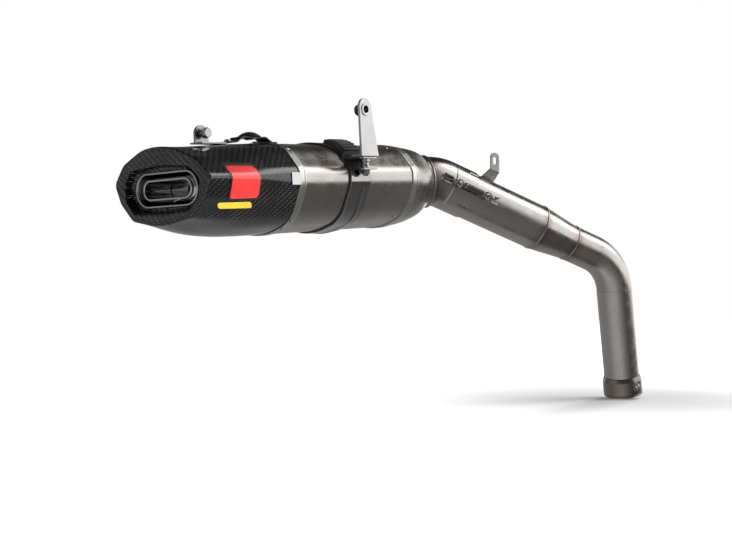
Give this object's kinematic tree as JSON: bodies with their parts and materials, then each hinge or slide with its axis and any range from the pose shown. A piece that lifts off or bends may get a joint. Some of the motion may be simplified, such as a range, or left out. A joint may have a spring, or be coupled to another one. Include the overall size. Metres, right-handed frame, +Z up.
{
  "type": "motorcycle exhaust system",
  "caption": "Slip-on racing exhaust: oval-hexagonal titanium silencer with carbon end cap, clamp and hanger, spring-held slip joint and reducing link pipe.",
  "frame": {"origin": "centre of the socket's open end", "axes": "+X forwards, from the outlet towards the link pipe; +Y left; +Z up"},
  "size_m": [0.807, 0.2447, 0.3729],
  "materials": {
    "satin_titanium": "fine brushed satin titanium, warm grey",
    "band_titanium": "bead-blasted titanium bands and lips",
    "carbon_fibre": "clear-coated twill carbon fibre",
    "bare_steel": "plain stainless brackets and fasteners",
    "weld_bead": "rippled weld bead with heat tint",
    "black_steel": "black zinc",
    "spring_steel": "spring wire, dark sleeve",
    "black_rubber": "matt black rubber",
    "packing_fibre": "loose glass fibre",
    "red_enamel": "gloss red",
    "yellow_enamel": "gloss yellow"
  },
  "bodies": {
    "link_pipe": {"link_tube": "satin_titanium", "reducer": "satin_titanium", "middle_tube": "satin_titanium", "lower_bend": "satin_titanium", "lower_tube": "satin_titanium", "socket_collar": "satin_titanium", "link_welds": "weld_bead", "link_hooks": "bare_steel", "link_bracket": "bare_steel", "socket_lugs": "bare_steel"},
    "silencer": {"outer_sleeve": "satin_titanium", "end_cap": "carbon_fibre", "rear_band": "band_titanium", "front_band": "band_titanium", "front_cap": "satin_titanium", "neck_ring": "satin_titanium", "neck_tube": "satin_titanium", "inlet_bend": "satin_titanium", "slip_socket": "satin_titanium", "inlet_hooks": "bare_steel", "outlet_duct": "band_titanium", "rear_baffle": "bare_steel", "front_baffle": "bare_steel", "core_tube": "bare_steel", "packing": "packing_fibre", "cap_rivets": "bare_steel", "front_rivets": "bare_steel", "badge_base": "black_steel", "badge_plate": "red_enamel", "badge_strip": "yellow_enamel", "rear_bracket": "bare_steel", "rear_bracket_bolt": "bare_steel", "rear_bracket_nut": "bare_steel", "seat_bridge": "black_steel", "bridge_rivets": "bare_steel", "bridge_grommet": "black_rubber"},
    "insert": {"noise_insert": "bare_steel", "insert_tube": "bare_steel", "insert_screw": "bare_steel"},
    "clamp": {"clamp_band": "band_titanium", "clamp_lining": "black_rubber", "clamp_pad": "black_rubber", "clamp_bolt": "bare_steel", "clamp_nut": "bare_steel", "clamp_spacer": "bare_steel"},
    "hanger": {"hanger_bracket": "bare_steel", "hanger_bush": "bare_steel", "hanger_nut": "black_steel"},
    "right_spring": {"near_spring": "spring_steel"},
    "left_spring": {"far_spring": "spring_steel"}
  },
  "joints": [
    {"name": "silencer_swivel", "type": "hinge", "parent": "link_pipe", "child": "silencer", "pos_m": [-0.25757, 0.10482, 0.28014], "axis": [0.8266, -0.44, -0.3508], "range_deg": [-8, 8]},
    {"name": "right_spring_lean", "type": "hinge", "parent": "link_pipe", "child": "right_spring", "pos_m": [-0.2651, 0.06238, 0.27516], "axis": [-0.4699, -0.8827, 0], "range_deg": [-7, 7]},
    {"name": "left_spring_lean", "type": "hinge", "parent": "link_pipe", "child": "left_spring", "pos_m": [-0.22657, 0.13477, 0.27516], "axis": [0.4699, 0.8827, 0], "range_deg": [-7, 7]},
    {"name": "clamp_slide", "type": "slide", "parent": "silencer", "child": "clamp", "axis": [0.9959, 0, 0.0906], "range_m": [-0.015, 0.02]},
    {"name": "hanger_turn", "type": "hinge", "parent": "clamp", "child": "hanger", "pos_m": [-0.53367, 0.057, 0.30104], "axis": [-0.0906, 0, 0.9959], "range_deg": [-20, 20]},
    {"name": "insert_pull", "type": "slide", "parent": "silencer", "child": "insert", "axis": [-0.9959, 0, -0.0906], "range_m": [0, 0.04]}
  ],
  "couplings": [
    {"joint": "right_spring_lean", "follows": "silencer_swivel", "ratio": 0.8506},
    {"joint": "left_spring_lean", "follows": "silencer_swivel", "ratio": 0.8506}
  ]
}
